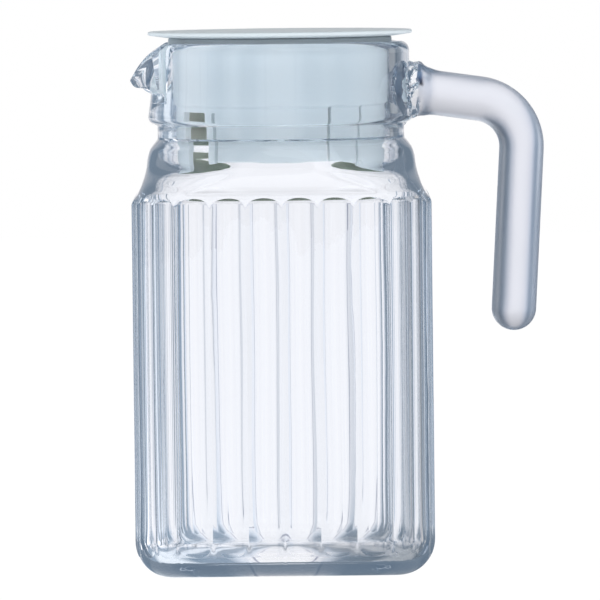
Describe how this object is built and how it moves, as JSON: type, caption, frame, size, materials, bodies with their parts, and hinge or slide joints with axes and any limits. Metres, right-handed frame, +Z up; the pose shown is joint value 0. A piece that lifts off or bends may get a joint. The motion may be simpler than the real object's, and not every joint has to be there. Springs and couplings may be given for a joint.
{
  "type": "glass jug",
  "caption": "Square glass fridge jug with fluted walls, a round neck with a beak spout, a hooked glass handle and a push-in plastic lid that turns to open its pouring window.",
  "frame": {"origin": "on the neck's axis, at the plane that the foot rests on", "axes": "+Z up, the spout points along -X and the handle along +X"},
  "size_m": [0.1394, 0.1, 0.1819],
  "materials": {
    "clear_glass": "clear pressed soda-lime glass, fire-polished",
    "handle_glass": "clear solid glass, soft hand-finished surface",
    "lid_plastic": "white polyethylene, satin",
    "seal_rubber": "grey elastomer, matt"
  },
  "bodies": {
    "jug": {"glass_jug": "clear_glass", "handle": "handle_glass"},
    "seal": {"seal_ring": "seal_rubber"},
    "lid": {"lid": "lid_plastic"}
  },
  "joints": [
    {"name": "lid_lift", "type": "slide", "parent": "jug", "child": "seal", "axis": [0, 0, 1], "range_m": [0, 0.06]},
    {"name": "lid_turn", "type": "hinge", "parent": "seal", "child": "lid", "pos_m": [0, 0, 0.178], "axis": [0, 0, 1], "continuous": true}
  ]
}
